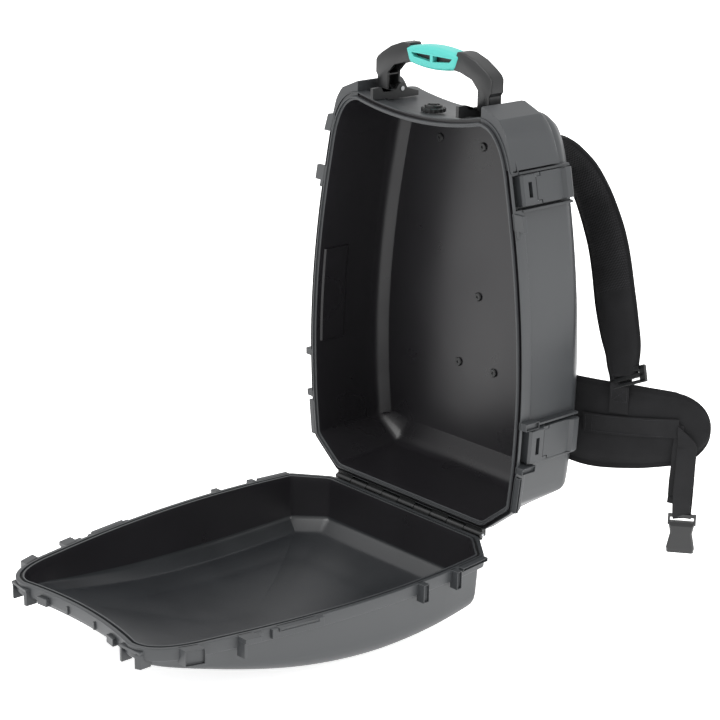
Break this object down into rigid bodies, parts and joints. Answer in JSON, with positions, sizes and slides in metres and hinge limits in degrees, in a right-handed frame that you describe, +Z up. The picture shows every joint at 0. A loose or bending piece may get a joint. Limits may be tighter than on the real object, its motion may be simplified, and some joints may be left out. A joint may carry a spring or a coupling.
{
  "type": "hard shell backpack",
  "caption": "Hard shell backpack, open: upright moulded half with padded harness, lid lying level on its hinge, folding top handle and side latches.",
  "frame": {"origin": "middle of the back pad's rear face, where the pack meets the wearer's back", "axes": "+X to the right seen from the open side, +Y towards the wearer, +Z up the wearer's back"},
  "size_m": [0.6582, 0.7589, 0.7075],
  "materials": {
    "shell_plastic": "moulded polypropylene, fine grain, satin",
    "small_plastic": "black moulded nylon",
    "grip": "turquoise soft moulded grip",
    "steel": "drawn stainless pin",
    "seal": "black foam rubber cord",
    "padding": "black padded nylon with spacer mesh",
    "webbing": "black woven webbing"
  },
  "bodies": {
    "shell": {"shell_body": "shell_plastic", "hinge_pin": "steel", "vent_valve": "small_plastic", "back_screw_low_left": "small_plastic", "back_screw_low_right": "small_plastic", "back_screw_middle": "small_plastic", "back_screw_top_left": "small_plastic", "back_screw_top_middle": "small_plastic", "back_screw_top_right": "small_plastic", "handle_rib_right": "shell_plastic", "handle_rib_left": "shell_plastic", "handle_pin_right": "steel", "handle_pin_left": "steel", "latch_base_upper_right": "shell_plastic", "latch_base_lower_right": "shell_plastic", "latch_base_upper_left": "shell_plastic", "latch_base_lower_left": "shell_plastic", "latch_pin_upper_right": "steel", "latch_pin_lower_right": "steel", "latch_pin_upper_left": "steel", "latch_pin_lower_left": "steel", "shoulder_strap_right": "padding", "shoulder_strap_left": "padding", "strap_webbing_right": "webbing", "strap_webbing_left": "webbing", "ladder_lock_right": "small_plastic", "ladder_lock_left": "small_plastic", "belt_webbing_right": "webbing", "belt_webbing_left": "webbing", "hanging_webbing_right": "webbing", "hanging_webbing_left": "webbing", "back_pad": "padding", "hip_belt": "padding", "buckle_socket": "small_plastic", "buckle_plug": "small_plastic"},
    "lid": {"lid_body": "shell_plastic", "lid_seal": "seal"},
    "handle": {"handle_frame": "shell_plastic", "handle_grip": "grip"},
    "lever_upper_right": {"latch_lever_upper_right": "shell_plastic"},
    "lever_lower_right": {"latch_lever_lower_right": "shell_plastic"},
    "lever_upper_left": {"latch_lever_upper_left": "shell_plastic"},
    "lever_lower_left": {"latch_lever_lower_left": "shell_plastic"}
  },
  "joints": [
    {"name": "lid_hinge", "type": "hinge", "parent": "shell", "child": "lid", "pos_m": [0, -0.1483, -0.3], "axis": [-1, 0, 0], "range_deg": [0, 90]},
    {"name": "handle_fold", "type": "hinge", "parent": "shell", "child": "handle", "pos_m": [0, -0.1023, 0.241], "axis": [-1, 0, 0], "range_deg": [0, 85]},
    {"name": "latch_upper_right", "type": "hinge", "parent": "shell", "child": "lever_upper_right", "pos_m": [0.16896, -0.1043, 0.15375], "axis": [0.1997, 0, -0.9799], "range_deg": [0, 95]},
    {"name": "latch_lower_right", "type": "hinge", "parent": "shell", "child": "lever_lower_right", "pos_m": [0.19828, -0.1043, -0.16659], "axis": [-0.0554, 0, -0.9985], "range_deg": [0, 95]},
    {"name": "latch_upper_left", "type": "hinge", "parent": "shell", "child": "lever_upper_left", "pos_m": [-0.16896, -0.1043, 0.15375], "axis": [0.1997, 0, 0.9799], "range_deg": [0, 95]},
    {"name": "latch_lower_left", "type": "hinge", "parent": "shell", "child": "lever_lower_left", "pos_m": [-0.19828, -0.1043, -0.16659], "axis": [-0.0554, 0, 0.9985], "range_deg": [0, 95]}
  ]
}
